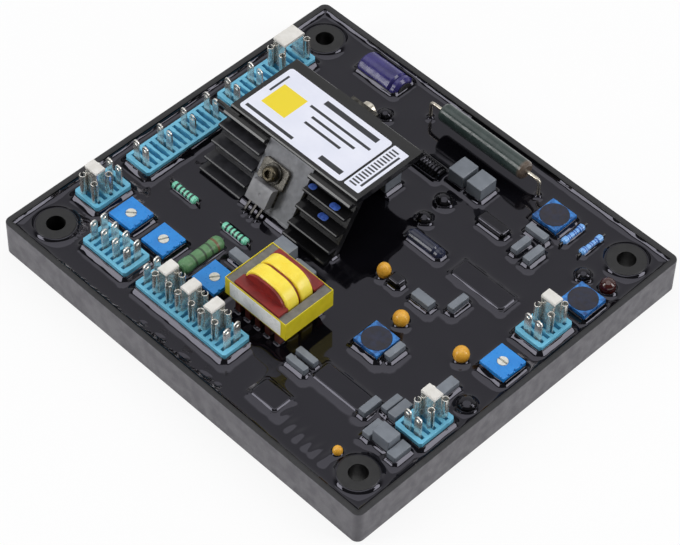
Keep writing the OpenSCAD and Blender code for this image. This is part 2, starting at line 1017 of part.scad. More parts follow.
module film_capacitors() {
    color([0.40, 0.42, 0.44])
        for (p = film_small)
            upright(p, board_top, film_top);
}

module tall_capacitors() {
    color([0.42, 0.44, 0.46])
        for (p = film_large)
            upright(p, board_top, film_tall);
}

module wirewound_tube() {
    h = wire_l / 2;
    r = wire_d / 2;
    color([0.26, 0.34, 0.32])
        translate([wire_x, wire_y, wire_z])
            lathe_x([
                [-h, 0], [-h, r - 1], [-h + 0.3, r - 0.4], [-h + 1, r],
                [h - 1, r], [h - 0.3, r - 0.4], [h, r - 1], [h, 0]
            ]);
}

// Upright part of both tube wires
module wire_legs(grow) {
    for (s = [-1, 1])
        translate([wire_x + s * (wire_l / 2 + wire_out), wire_y, board_top])
            cylinder(d = wire_lead + 2 * grow, h = wire_z - 1.2 - board_top, $fn = 20);
}

module wirewound_leads() {
    bend = 1.2;
    color([0.72, 0.68, 0.60]) {
        wire_legs(0);
        for (s = [-1, 1])
            translate([wire_x, wire_y, wire_z])
                rotate(s > 0 ? 0 : 180) {
                    translate([wire_l / 2, 0, 0])
                        rotate([0, 90, 0])
                            cylinder(d = wire_lead, h = wire_out - bend, $fn = 20);
                    translate([wire_l / 2 + wire_out - bend, 0, -bend])
                        rotate([90, 0, 0])
                            rotate_extrude(angle = 90, $fn = 40)
                                translate([bend, 0])
                                    circle(d = wire_lead, $fn = 20);
                }
    }
}

// Two-watt resistor lying along Y, swollen at both ends
module green_solid(grow) {
    g = grow;
    translate([green_x, green_y, green_z])
        rotate(90)
            lathe_x([
                [-8 - g, 0], [-8 - g, 1.6], [-7.4 - g, 2.2 + g], [-6.6, 2.4 + g],
                [-4.9, 2.38 + g], [-4.2, 2.2 + g], [4.2, 2.2 + g], [4.9, 2.38 + g],
                [6.6, 2.4 + g], [7.4 + g, 2.2 + g], [8 + g, 1.6], [8 + g, 0]
            ]);
}

module power_resistor() {
    color([0.36, 0.53, 0.36])
        green_solid(0);
}

module green_wires(grow) {
    for (s = [-1, 1])
        translate([green_x, green_y + s * 8.9, board_top])
            cylinder(d = 0.8 + 2 * grow, h = green_z - board_top, $fn = 20);
}

module power_leads() {
    color([0.70, 0.69, 0.66]) {
        for (s = [-1, 1])
            translate([green_x, green_y + s * 8, green_z])
                rotate([s * -90, 0, 0])
                    cylinder(d = 0.8, h = 0.9, $fn = 20);
        green_wires(0);
        for (s = [-1, 1])
            translate([green_x, green_y + s * 8.9, green_z])
                sphere(d = 0.8, $fn = 20);
    }
}

// Small film resistor lying along X, swollen at both ends
module small_resistor(size, grow) {
    h = size[0] / 2 + grow;
    a = size[1] + grow;
    b = size[2] + grow;
    translate([0, 0, small_z])
        lathe_x([
            [-h, 0], [-h, a * 0.6], [-h + 0.5, a], [-h + 2, a], [-h + 2.6, b],
            [h - 2.6, b], [h - 2, a], [h - 0.5, a], [h, a * 0.6], [h, 0]
        ]);
}

module teal_resistors() {
    color([0.45, 0.80, 0.68])
        for (p = teal_places)
            translate([px(p[0]), py(p[1]), 0])
                small_resistor(teal_size, 0);
}

module blue_resistors() {
    color([0.45, 0.66, 0.92])
        for (p = blue_places)
            translate([px(p[0]), py(p[1]), 0])
                rotate(90)
                    small_resistor(blue_size, 0);
}

// Bent end wires of the small resistors
module end_wire(l, grow) {
    for (s = [-1, 1]) {
        translate([s * l / 2, 0, small_z])
            rotate([0, s * 90, 0])
                cylinder(d = 0.7 + 2 * grow, h = 1.4, $fn = 16);
        translate([s * (l / 2 + 1.1), 0, board_top])
            cylinder(d = 0.7 + 2 * grow, h = small_z - board_top, $fn = 16);
    }
}

module small_wires(grow) {
    for (p = teal_places)
        translate([px(p[0]), py(p[1]), 0])
            end_wire(teal_size[0], grow);
    for (p = blue_places)
        translate([px(p[0]), py(p[1]), 0])
            rotate(90)
                end_wire(blue_size[0], grow);
}

module small_leads() {
    color([0.62, 0.61, 0.58])
        small_wires(0);
}

module indicator_lamp() {
    r = led_d / 2;
    color([0.25, 0.04, 0.03])
        translate([led_x, led_y, 0])
            rotate_extrude()
                polygon(concat(
                    [[0, board_top], [r, board_top]],
                    [for (a = [0:9:90]) [r * cos(a), led_top - r + r * sin(a)]]
                ));
}

module black_devices() {
    color([0.03, 0.03, 0.03])
        for (p = black_round)
            translate([px(p[0]), py(p[1]), 0])
                rotate_extrude()
                    polygon(concat(
                        [[0, board_top], [p[2], board_top]],
                        [for (a = [0:10:90]) [p[2] * cos(a), round_top - dome + dome * sin(a)]]
                    ));
}

module black_capacitors() {
    color([0.04, 0.04, 0.04])
        for (p = black_box)
            upright(p, board_top, box_top);
}

// Choke lying along X: a ring of moulding for each turn, smaller at both ends
module choke_solid(grow) {
    h = ribs * rib_pitch / 2;
    translate([choke_x, choke_y, choke_z])
        lathe_x(concat(
            [[-h - grow, 0]],
            [for (i = [0:ribs - 1], q = [[0, -rib_depth], [0.25, 0], [0.75, 0]])
                [-h + (i + q[0]) * rib_pitch - (i + q[0] == 0 ? grow : 0),
                 choke_r + q[1] + grow - (i == 0 || i == ribs - 1 ? 0.5 : 0)]],
            [[h + grow, choke_r - rib_depth - 0.5 + grow], [h + grow, 0]]
        ));
}

module ribbed_choke() {
    color([0.04, 0.04, 0.04])
        choke_solid(0);
}

module potted_chips() {
    color([0.06, 0.06, 0.06])
        for (p = chips)
            upright(p, board_top, chip_top);
}

module potted_module() {
    color([0.06, 0.06, 0.06])
        upright(square_module, board_top, chip_top);
}

tray();
circuit_board();
potting_resin();
heatsink();
mounting_plate();
thyristor_body();
thyristor_frame();
thyristor_washer();
thyristor_screw();
rear_device_body();
rear_device_frame();
rear_device_screw();
transformer_core();
transformer_bobbin();
front_winding();
rear_winding();
transformer_tape();
transformer_pins();
block_a();
block_b();
block_c();
block_d();
block_e();
block_f();
block_g();
terminal_tabs();
link_bodies();
link_caps();
link_contacts();
trimmer_one();
trimmer_two();
trimmer_three();
trimmer_four();
rotor_one();
rotor_two();
rotor_three();
rotor_four();
sealed_trimmers();
trimmer_seals();
can_sleeve();
can_seal();
axial_capacitor();
bead_capacitors();
film_capacitors();
tall_capacitors();
wirewound_tube();
wirewound_leads();
power_resistor();
power_leads();
teal_resistors();
blue_resistors();
small_leads();
indicator_lamp();
black_devices();
black_capacitors();
ribbed_choke();
potted_chips();
potted_module();
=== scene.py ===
"""Voltage regulator: materials, poured resin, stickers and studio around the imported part."""
import json
import math

import bmesh
import bpy
import numpy as np
from mathutils import Matrix, Vector

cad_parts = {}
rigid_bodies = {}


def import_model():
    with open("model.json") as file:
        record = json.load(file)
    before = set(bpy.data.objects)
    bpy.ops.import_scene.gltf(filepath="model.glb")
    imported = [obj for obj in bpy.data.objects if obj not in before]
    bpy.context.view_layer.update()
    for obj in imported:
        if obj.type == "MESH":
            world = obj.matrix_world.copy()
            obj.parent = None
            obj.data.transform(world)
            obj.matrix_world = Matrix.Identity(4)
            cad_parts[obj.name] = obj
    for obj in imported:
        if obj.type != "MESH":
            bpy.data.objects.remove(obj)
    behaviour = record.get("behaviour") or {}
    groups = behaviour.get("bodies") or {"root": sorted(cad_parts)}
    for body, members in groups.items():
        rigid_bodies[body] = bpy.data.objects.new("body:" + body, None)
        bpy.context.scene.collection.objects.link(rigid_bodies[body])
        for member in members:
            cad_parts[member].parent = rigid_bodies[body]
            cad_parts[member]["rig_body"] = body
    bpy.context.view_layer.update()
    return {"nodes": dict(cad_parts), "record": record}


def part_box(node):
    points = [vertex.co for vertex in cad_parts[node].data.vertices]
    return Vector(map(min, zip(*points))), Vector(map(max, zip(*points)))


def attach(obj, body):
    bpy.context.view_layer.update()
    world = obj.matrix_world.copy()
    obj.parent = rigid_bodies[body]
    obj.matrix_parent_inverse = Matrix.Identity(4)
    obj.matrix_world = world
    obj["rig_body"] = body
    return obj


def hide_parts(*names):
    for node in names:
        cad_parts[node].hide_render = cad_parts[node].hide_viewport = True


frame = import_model()
NODES = frame["nodes"]
SLOT = {s["node"]: s["material_slot"] for s in frame["record"]["subparts"]}
MM = 0.001

# Corner holes of the tray, in mm from its centre
PATTERN = next(m["dims"] for m in frame["record"]["mounts"] if m["name"] == "fixing_holes")
HOLE_AT = (PATTERN["spacing_x_mm"] / 2, PATTERN["spacing_y_mm"] / 2)
HOLE_R = PATTERN["hole_r_mm"]

# Camera of the photo: its direction in degrees, its place in metres, its lens in mm
VIEW_AZ = math.radians(43.878)
VIEW_EL = math.radians(49.750)
VIEW_ROLL = math.radians(1.769)
CAMERA_AT = (0.375286, -0.390056, 0.637170)
LENS = 147.24
SENSOR = 36.0
VIEW_RIGHT = Vector((math.cos(VIEW_AZ), math.sin(VIEW_AZ), 0))
VIEW_AWAY = Vector((-math.sin(VIEW_AZ), math.cos(VIEW_AZ), 0))


def srgb(r, g, b):
    """Colour as seen on a screen, 0 to 255, as linear RGBA."""
    def lin(c):
        c /= 255
        return c / 12.92 if c <= 0.04045 else ((c + 0.055) / 1.055) ** 2.4
    return (lin(r), lin(g), lin(b), 1.0)


def node_box(node):
    """Lowest and highest corner of a node, in mm."""
    lo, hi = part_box(node)
    return np.array(lo) / MM, np.array(hi) / MM


# Materials

X, Y, Z = 0, 1, 2

# Sockets of the colour mix node
MIX_SHARE, MIX_FIRST, MIX_OTHER = 0, 6, 7
MIX_COLOR = 2


class Look:
    """A Principled material with helpers for its procedural detail. Sizes and places are in mm."""

    def __init__(self, name, color, rough, metal=0.0, **sockets):
        self.mat = bpy.data.materials.new(name)
        self.mat.use_nodes = True
        self.tree = self.mat.node_tree
        self.bsdf = self.tree.nodes["Principled BSDF"]
        self.bsdf.inputs["Base Color"].default_value = color
        self.bsdf.inputs["Roughness"].default_value = rough
        self.bsdf.inputs["Metallic"].default_value = metal
        for key, value in sockets.items():
            self.bsdf.inputs[key.replace("_", " ")].default_value = value
        self.coords = self.node("ShaderNodeTexCoord").outputs["Object"]
        self.base = color
        self.color = None
        self.normal = None

    def node(self, kind, **settings):
        """New node with its settings."""
        n = self.tree.nodes.new(kind)
        for key, value in settings.items():
            setattr(n, key, value)
        return n

    def link(self, out, socket):
        """Joins an output to an input."""
        self.tree.links.new(out, socket)

    def math(self, operation, a, b=None):
        """Result of an operation on sockets or numbers."""
        n = self.node("ShaderNodeMath", operation=operation)
        for socket, value in zip(n.inputs, (a, b)):
            if isinstance(value, (int, float)):
                socket.default_value = value
            elif value is not None:
                self.link(value, socket)
        return n.outputs[0]

    def noise(self, size, detail=3.0, stretch=None):
        """Noise with features of about the given size."""
        n = self.node("ShaderNodeTexNoise")
        n.inputs["Scale"].default_value = 1 / (size * MM)
        n.inputs["Detail"].default_value = detail
        coords = self.coords
        if stretch:
            m = self.node("ShaderNodeMapping")
            m.inputs["Scale"].default_value = stretch
            self.link(coords, m.inputs["Vector"])
            coords = m.outputs["Vector"]
        self.link(coords, n.inputs["Vector"])
        return n.outputs["Fac"]

    def spread(self, value, low, high, start=0.35, end=0.65):
        """Goes from low to high while the value goes from start to end."""
        m = self.node("ShaderNodeMapRange")
        m.inputs["From Min"].default_value = start
        m.inputs["From Max"].default_value = end
        m.inputs["To Min"].default_value = low
        m.inputs["To Max"].default_value = high
        self.link(value, m.inputs["Value"])
        return m.outputs["Result"]

    def tint(self, share, other):
        """Mixes another colour in where the share is high."""
        m = self.node("ShaderNodeMix", data_type="RGBA")
        if self.color is None:
            m.inputs[MIX_FIRST].default_value = self.base
        else:
            self.link(self.color, m.inputs[MIX_FIRST])
        m.inputs[MIX_OTHER].default_value = other
        self.link(share, m.inputs[MIX_SHARE])
        self.color = m.outputs[MIX_COLOR]
        self.link(self.color, self.bsdf.inputs["Base Color"])
        return self

    def mottle(self, size, other, amount=0.5, detail=3.0, stretch=None):
        """Uneven colour."""
        return self.tint(self.spread(self.noise(size, detail, stretch), 0.0, amount), other)

    def gloss(self, size, low, high, stretch=None):
        """Uneven roughness."""
        self.link(self.spread(self.noise(size, 2.0, stretch), low, high), self.bsdf.inputs["Roughness"])
        return self

    def bump(self, size, height, detail=2.0, stretch=None):
        """Uneven surface, added to the bumps before it."""
        b = self.node("ShaderNodeBump")
        b.inputs["Strength"].default_value = 1.0
        b.inputs["Distance"].default_value = height * MM
        self.link(self.noise(size, detail, stretch), b.inputs["Height"])
        if self.normal is not None:
            self.link(self.normal, b.inputs["Normal"])
        self.normal = b.outputs["Normal"]
        self.link(self.normal, self.bsdf.inputs["Normal"])
        return self

    def axis(self, k):
        """Place along axis k, in metres."""
        s = self.node("ShaderNodeSeparateXYZ")
        self.link(self.coords, s.inputs["Vector"])
        return s.outputs[k]

    def between(self, k, lo, hi, soft=0.08):
        """1 between two places along axis k, 0 outside."""
        away = self.math("ABSOLUTE", self.math("SUBTRACT", self.axis(k), (lo + hi) / 2 * MM))
        half = (hi - lo) / 2
        return self.spread(away, 1.0, 0.0, (half - soft) * MM, (half + soft) * MM)

    def within(self, x0, x1, y0, y1, soft=0.08):
        """1 inside a rectangle in plan, 0 outside."""
        return self.math("MULTIPLY", self.between(X, x0, x1, soft), self.between(Y, y0, y1, soft))

    def band(self, k, centres, width, color, soft=0.08):
        """Painted bands across axis k."""
        for c in centres:
            self.tint(self.between(k, c - width / 2, c + width / 2, soft), color)
        return self

    def patch(self, x0, x1, y0, y1, color):
        """Printed rectangle in plan."""
        return self.tint(self.within(x0, x1, y0, y1, 0.06), color)

    def rungs(self, x0, x1, y0, y1, count, width, color):
        """Evenly spaced printed bars along X, stacked between two places in Y."""
        pitch = (y1 - y0) / count
        step = self.math("DIVIDE", self.math("SUBTRACT", self.axis(Y), y0 * MM), pitch * MM)
        off = self.math("ABSOLUTE", self.math("SUBTRACT", self.math("FRACT", step), 0.5))
        half = width / pitch / 2
        bar = self.spread(off, 1.0, 0.0, half - 0.05, half + 0.05)
        return self.tint(self.math("MULTIPLY", bar, self.within(x0, x1, y0, y1)), color)

    def upward(self, color):
        """Another colour on faces that look up."""
        g = self.node("ShaderNodeNewGeometry")
        s = self.node("ShaderNodeSeparateXYZ")
        self.link(g.outputs["Normal"], s.inputs["Vector"])
        return self.tint(self.spread(s.outputs[Z], 0.0, 1.0, 0.5, 0.9), color)


LOOKS = {}

# Reflections on resin and epoxy are a little cold
COLD = (0.87, 0.85, 1.0, 1.0)


def look(name, *args, **sockets):
    """New material under its name."""
    LOOKS[name] = Look(name, *args, **sockets)
    return LOOKS[name]


def tray_look():
    """Grey moulded sides, dark top edges, a black inside, and painted shade in the holes."""
    dark_x, dark_y = 73.6, 66.1
    tray = look("tray_plastic", srgb(90, 88, 94), 0.5)
    tray.mottle(5, srgb(80, 78, 84), 0.7).upward(srgb(34, 34, 37))
    tray.gloss(3, 0.36, 0.56).bump(0.5, 0.045, 4.0).bump(2.6, 0.03, 2.0)
    tray.tint(tray.within(-dark_x, dark_x, -dark_y, dark_y), srgb(20, 20, 22))
    # Painted shade: the walls of the corner holes are painted near black
    across = tray.math("SUBTRACT", tray.math("ABSOLUTE", tray.axis(X)), HOLE_AT[X] * MM)
    along = tray.math("SUBTRACT", tray.math("ABSOLUTE", tray.axis(Y)), HOLE_AT[Y] * MM)
    square = tray.math("ADD", tray.math("MULTIPLY", across, across), tray.math("MULTIPLY", along, along))
    hole_shade = tray.spread(tray.math("SQRT", square), 1.0, 0.0, (HOLE_R + 0.05) * MM, (HOLE_R + 0.15) * MM)
    tray.tint(hole_shade, srgb(3, 3, 3))


def sink_look():
    """Black anodised metal, with a dusty painted sheen on the left-hand fins and a brighter top."""
    sink = look("sink_black", srgb(16, 16, 17), 0.2)
    sink.mottle(5, srgb(30, 30, 32), 0.6, stretch=(0.15, 1, 1))
    sink.gloss(2.2, 0.12, 0.22, (0.2, 1, 1)).bump(0.7, 0.005, 3.0)
    fins_x, fins_z, top_z = (-60, -22), (9, 27.2), (27.0, 29.6)
    left_fins = sink.math("MULTIPLY", sink.between(X, *fins_x, 3.0), sink.between(Z, *fins_z, 0.4))
    # Lighter grey on the left-hand fins: partly dusty metal, partly painted sheen
    dust_and_sheen = sink.math("MULTIPLY", left_fins, sink.spread(sink.noise(2.5, 4.0), 0.5, 1.0))
    sink.tint(dust_and_sheen, srgb(54, 54, 58))
    shine = sink.spread(sink.axis(Z), 0.3, 0.6, top_z[0] * MM, top_z[1] * MM)
    sink.link(shine, sink.bsdf.inputs["Specular IOR Level"])


# Tray, resin and board
tray_look()
look("resin", (0.0026, 0.0024, 0.0036, 1), 0.05, IOR=1.5, Specular_IOR_Level=0.57, Specular_Tint=COLD) \
    .mottle(14, (0.0042, 0.004, 0.0056, 1), 0.7).gloss(11, 0.035, 0.075)
look("board", srgb(60, 110, 78), 0.4).mottle(3, srgb(50, 96, 66), 0.6).gloss(1.5, 0.3, 0.5)

# Heatsink and the two power devices
sink_look()
look("plate_grey", srgb(104, 105, 109), 0.42, 0.3) \
    .mottle(2.2, srgb(124, 125, 129), 0.7).gloss(1.6, 0.34, 0.52).bump(0.5, 0.012, 3.0)
look("device_plastic", srgb(134, 134, 138), 0.4) \
    .mottle(3, srgb(116, 116, 120), 0.7).gloss(1.5, 0.34, 0.5).bump(0.35, 0.012, 3.0)
look("device_black", srgb(20, 20, 22), 0.3) \
    .mottle(3, srgb(32, 32, 34), 0.6).gloss(1.2, 0.22, 0.4).bump(0.35, 0.01, 3.0)
look("device_metal", srgb(112, 109, 103), 0.28, 0.8) \
    .mottle(1.8, srgb(62, 59, 54), 0.8).gloss(0.8, 0.22, 0.4).bump(0.4, 0.005)
look("screw_metal", srgb(92, 86, 72), 0.26, 0.85) \
    .mottle(1.2, srgb(62, 55, 42), 0.7).gloss(0.6, 0.2, 0.4).bump(0.3, 0.005)
look("washer_metal", srgb(82, 80, 75), 0.3, 0.7) \
    .mottle(1.1, srgb(30, 28, 26), 0.9).gloss(0.6, 0.22, 0.46).bump(0.5, 0.01)

# Transformer
look("core_iron", srgb(126, 124, 120), 0.45, 0.4) \
    .mottle(2.5, srgb(98, 96, 92), 0.7).gloss(1.2, 0.36, 0.58).bump(0.5, 0.02, 3.0)
look("bobbin_red", srgb(138, 30, 26), 0.4) \
    .mottle(3, srgb(108, 22, 20), 0.7).gloss(1.5, 0.32, 0.5).bump(0.5, 0.012)
look("winding_yellow", srgb(255, 234, 78), 0.28) \
    .mottle(4, srgb(250, 216, 44), 0.6).gloss(2.2, 0.22, 0.38).bump(3.2, 0.06, 1.0, (1, 0.25, 1))
look("tape_yellow", srgb(232, 214, 40), 0.34) \
    .mottle(4, srgb(214, 196, 28), 0.6).gloss(2.0, 0.28, 0.44).bump(2.5, 0.03, 1.0)

# Leads, terminal blocks and push-on links
look("lead_metal", srgb(206, 200, 188), 0.28, 0.85) \
    .mottle(1.4, srgb(150, 140, 122), 0.5).gloss(0.7, 0.2, 0.34)
look("lead_dark", srgb(34, 33, 33), 0.2).mottle(1.0, srgb(52, 50, 48), 0.6).gloss(0.7, 0.12, 0.3)
look("block_blue", srgb(116, 194, 224), 0.4) \
    .mottle(5, srgb(98, 178, 212), 0.7).gloss(2.0, 0.34, 0.52).bump(0.5, 0.01)
look("tab_metal", srgb(232, 230, 225), 0.22, 0.8) \
    .mottle(2.4, srgb(206, 203, 196), 0.5).gloss(1.2, 0.16, 0.28).bump(1.5, 0.006)
look("link_white", srgb(232, 230, 226), 0.4) \
    .mottle(2.2, srgb(216, 213, 206), 0.7).gloss(1.2, 0.3, 0.5).bump(0.6, 0.015)

# Trimmers: open ones, and sealed ones with a rubbed housing
look("trimmer_blue", srgb(38, 141, 224), 0.32) \
    .mottle(4, srgb(31, 124, 207), 0.6).gloss(1.6, 0.24, 0.42).bump(0.5, 0.01)
look("trimmer_dull", srgb(54, 132, 210), 0.34) \
    .mottle(1.5, srgb(20, 52, 104), 0.85).gloss(1.6, 0.24, 0.42).bump(0.5, 0.01)
look("rotor_white", srgb(226, 226, 218), 0.42).mottle(1.4, srgb(196, 196, 186), 0.7).gloss(0.7, 0.34, 0.52)
look("seal_dark", srgb(24, 22, 31), 0.42).mottle(2.6, srgb(36, 31, 43), 0.7) \
    .mottle(1.4, srgb(28, 46, 84), 0.3).gloss(1.2, 0.34, 0.56).bump(0.6, 0.02)

# Capacitors, resistors and small devices
look("can_purple", srgb(58, 52, 116), 0.2) \
    .mottle(3, srgb(40, 36, 88), 0.8, stretch=(0.3, 1, 1)).gloss(1.8, 0.14, 0.3).bump(2.0, 0.06, 1.0)
look("rubber_black", srgb(24, 24, 25), 0.55).mottle(1.5, srgb(36, 36, 37), 0.6).gloss(0.7, 0.48, 0.66)
look("axial_navy", srgb(30, 34, 52), 0.16).mottle(3, srgb(48, 52, 76), 0.7).gloss(1.5, 0.1, 0.26)
look("bead_amber", srgb(236, 178, 66), 0.24) \
    .mottle(1.8, srgb(218, 152, 38), 0.7).gloss(1.0, 0.18, 0.36).bump(0.9, 0.03)
look("film_grey", srgb(122, 128, 137), 0.4) \
    .mottle(3.5, srgb(106, 112, 121), 0.7).gloss(1.4, 0.32, 0.5).bump(0.5, 0.012)
look("glaze_green", srgb(56, 68, 66), 0.2) \
    .mottle(3, srgb(42, 54, 52), 0.7).gloss(1.6, 0.13, 0.3).bump(1.2, 0.03)
look("lacquer_green", srgb(98, 142, 98), 0.4) \
    .mottle(1.6, srgb(82, 124, 84), 0.7).gloss(0.8, 0.3, 0.52).bump(0.6, 0.03)
look("lacquer_teal", srgb(136, 222, 192), 0.26).mottle(1.6, srgb(112, 204, 172), 0.7).gloss(0.9, 0.18, 0.36)
look("lacquer_blue", srgb(132, 186, 244), 0.24).mottle(1.6, srgb(100, 160, 228), 0.7).gloss(0.9, 0.16, 0.34)
look("lamp_red", srgb(64, 18, 13), 0.1, Coat_Weight=0.6) \
    .mottle(1.6, srgb(44, 10, 8), 0.7).gloss(1.0, 0.07, 0.16)
look("black_epoxy", srgb(9, 9, 10), 0.08, Specular_Tint=COLD) \
    .mottle(2, srgb(16, 16, 17), 0.6).gloss(1.2, 0.05, 0.14).bump(1.6, 0.05)

# Stickers and dabs of paint
look("dab_blue", srgb(72, 108, 196), 0.3) \
    .mottle(0.8, srgb(48, 74, 150), 0.8).gloss(0.6, 0.2, 0.4).bump(0.6, 0.03)
# Painted light: a brighter copy of the paper, for the sticker on the transformer's upright face, which gets
# less light
look("paper_bright", srgb(250, 250, 248), 0.3).mottle(6, srgb(244, 244, 244), 0.7).gloss(2.0, 0.24, 0.38)
look("paper_white", srgb(235, 237, 250), 0.34).mottle(8, srgb(226, 229, 244), 0.7).gloss(2.0, 0.28, 0.42)

# Nodes whose look differs from that of their slot
OTHER_LOOK = {
    "thyristor_washer": "washer_metal",
    "rear_device_body": "device_black",
    "rear_device_frame": "washer_metal",
    "rear_device_screw": "lead_metal",
    "sealed_trimmers": "trimmer_dull",
    "power_leads": "lead_dark",
    "small_leads": "lead_dark",
}


# Building and placing pieces

def paint(obj, material):
    """Gives an object one material."""
    obj.data.materials.clear()
    obj.data.materials.append(LOOKS[material].mat)


def place(obj, material, body="body", nodes=()):
    """Gives a piece its material, its body and the nodes that it stands for."""
    paint(obj, material)
    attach(obj, body)
    if nodes:
        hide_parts(*nodes)
    return obj


def node_look(node):
    """Name of a node's material."""
    return OTHER_LOOK.get(node, SLOT[node])


def new_object(name, data):
    """Object of a mesh, lamp or camera, linked to the scene."""
    obj = bpy.data.objects.new(name, data)
    bpy.context.scene.collection.objects.link(obj)
    return obj


def piece(name, bm):
    """Object of a finished bmesh."""
    mesh = bpy.data.meshes.new(name)
    bm.to_mesh(mesh)
    bm.free()
    return new_object(name, mesh)


def clean_copy(node):
    """The node's solids as joined-up faces."""
    bm = bmesh.new()
    bm.from_mesh(NODES[node].data)
    bmesh.ops.remove_doubles(bm, verts=bm.verts, dist=0.002 * MM)
    bmesh.ops.dissolve_limit(bm, angle_limit=math.radians(0.6), verts=bm.verts, edges=bm.edges)
    return bm


def mark_outer_edges(mesh, angle):
    """Gives a bevel weight to the sharp edges that stand out, and none to inner corners."""
    bm = bmesh.new()
    bm.from_mesh(mesh)
    weight = bm.edges.layers.float.new("bevel_weight_edge")
    for e in bm.edges:
        e[weight] = float(e.is_convex and e.calc_face_angle(0.0) > angle)
    bm.to_mesh(mesh)
    bm.free()


def ease(obj, width, segments=2, angle=30.0, outer_only=False):
    """Rounds the edges sharper than an angle, width in mm; with outer_only the inner corners stay sharp."""
    obj.data.shade_smooth()
    bevel = obj.modifiers.new("ease", "BEVEL")
    bevel.width = width * MM
    bevel.segments = segments
    bevel.limit_method = "ANGLE"
    bevel.angle_limit = math.radians(angle)
    bevel.use_clamp_overlap = True
    if outer_only:
        mark_outer_edges(obj.data, bevel.angle_limit)
        bevel.limit_method = "WEIGHT"
    obj.modifiers.new("normals", "WEIGHTED_NORMAL").keep_sharp = False
    return obj


def eased(node, width, segments=2, angle=30.0, ceiling=None, outer_only=False):
    """A node's own shape with round edges, standing for the node; its top may be kept under a ceiling."""
    bm = clean_copy(node)
    if ceiling:
        for v in bm.verts:
            v.co.z = min(v.co.z, ceiling * MM)
    obj = ease(piece(node + "_eased", bm), width, segments, angle, outer_only)
    return place(obj, node_look(node), NODES[node]["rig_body"], [node])


def slab(name, outline, z0, z1, turn=None):
    """Thin plate of an outline in mm; turn takes its X, Y and Z into the part's frame."""
    bm = bmesh.new()
    ring = [bm.verts.new(Vector((x, y, z0))) for x, y in outline]
    face = bm.faces.new(ring)
    for v in bmesh.ops.extrude_face_region(bm, geom=[face])["geom"]:
        if isinstance(v, bmesh.types.BMVert):
            v.co.z = z1
    bmesh.ops.recalc_face_normals(bm, faces=bm.faces)
    bmesh.ops.transform(bm, matrix=turn or Matrix.Identity(4), verts=bm.verts)
    bmesh.ops.scale(bm, vec=(MM, MM, MM), verts=bm.verts)
    return piece(name, bm)


def rounded(x0, x1, y0, y1, r, steps=6):
    """Rectangle with round corners, as points in mm."""
    points = []
    corners = [(x1 - r, y1 - r), (x0 + r, y1 - r), (x0 + r, y0 + r), (x1 - r, y0 + r)]
    for k, (cx, cy) in enumerate(corners):
        for i in range(steps + 1):
            a = math.pi / 2 * (k + i / steps)
            points.append((cx + r * math.cos(a), cy + r * math.sin(a)))
    return points


def islands(node):
    """Lowest and highest corner of each separate solid of a node, in mm."""
    mesh = NODES[node].data
    co = np.empty(len(mesh.vertices) * 3)
    mesh.vertices.foreach_get("co", co)
    co = co.reshape(-1, 3) / MM
    edge = np.empty(len(mesh.edges) * 2, int)
    mesh.edges.foreach_get("vertices", edge)
    _, same = np.unique(np.round(co, 3), axis=0, return_inverse=True)
    same = same.ravel()
    label = np.arange(same.max() + 1)
    a, b = same[edge[0::2]], same[edge[1::2]]
    while True:
        low = np.minimum(label[a], label[b])
        new = label.copy()
        np.minimum.at(new, a, low)
        np.minimum.at(new, b, low)
        new = new[new]
        if (new == label).all():
            break
        label = new
    out = []
    for k in np.unique(label):
        points = co[label[same] == k]
        out.append((points.min(0), points.max(0)))
    return sorted(out, key=lambda box: tuple(box[0]))


# Poured resin: a level surface that climbs steeply at the walls and at every part. Sizes are in mm

RESIN_Z = 11.0  # level top
POCKET_Z = 9.0  # floor of the pockets under the parts
UNDERSIDE_Z = 2.0  # flat underside
INNER = (73.0, 65.5)  # half sides of the tray's inside
BOSS = [(sx * HOLE_AT[X], sy * HOLE_AT[Y]) for sx in (-1, 1) for sy in (-1, 1)]
BOSS_R = 6.5
BOSS_LAP = 0.6  # how far the resin reaches into a boss

# Climb at each kind of contact: height of its straight ramp, of its gentle foot and of its lip
CLIMB = {
    "wall": (0.6, 0.45, 0.15),
    "boss": (0.6, 0.36, 0.12),
    "block": (1.15, 0.6, 0.3),
    "trimmer": (1.05, 0.66, 0.7),
    "film": (0.75, 0.55, 0.3),
    "black_box": (0.65, 0.4, 0.3),
    "dome": (0.6, 0.32, 0.25),
    "bead": (0.66, 0.46, 0.2),
    "can": (0.95, 0.5, 0.3),
    "axial": (0.7, 0.5, 0.3),
    "choke": (0.6, 0.5, 0.3),
    "resistor": (0.35, 0.25, 0.1),
    "post": (0.55, 0.3, 0.3),
    "pin": (0.2, 0.25, 0.1),
    "mound": (0.0, 0.3, 0.0),
    "plate": (0.6, 0.5, 0.2),
    "sink": (0.4, 0.4, 0.1),
    "leg": (0.45, 0.35, 0.2),
}

RAMP_SLOPE = 0.75
RAMP_SOFT = 0.4  # length of the bend at the ramp's end
LIP = 0.25  # reach of the lip
GENTLE = 1.45  # reach of the gentle foot
BLEND = 2.6  # how sharply two climbs join
MERGE = 0.45  # how near film capacitors share one climb
FAR = 30.0  # distance at which a contact has no effect
RIPPLE_WAVES = 7  # waves in an uneven field
RIPPLE_SUM = 3.2  # height of their sum

POCKET_EDGE = 0.08  # strip inside a part's outline that stays at resin height
POCKET_WALL = 0.3  # run of a pocket's wall
SKIN = 0.12  # resin over a chip
MOUND_REACH = 1.15  # how far a mound goes past its chip
MOUND_RUN = 1.0  # run of a mound's side

BEAD_FOOT = 0.36  # radius of a bead at the resin, as a share of its width
POST_R = 0.6  # end posts of the wirewound resistor
LEG_R = 0.45  # legs of the front power device
LEG_PITCH = 2.54
LEG_IN = 0.3  # from the front of the legs to their middle
PLATE_FOOT = 2.5  # depth of the mounting plate's foot
SINK_FOOT_X = 4.2  # from the left end of the heatsink to the foot of its wall
SINK_FOOT_Y = (-7.0, -4.4)

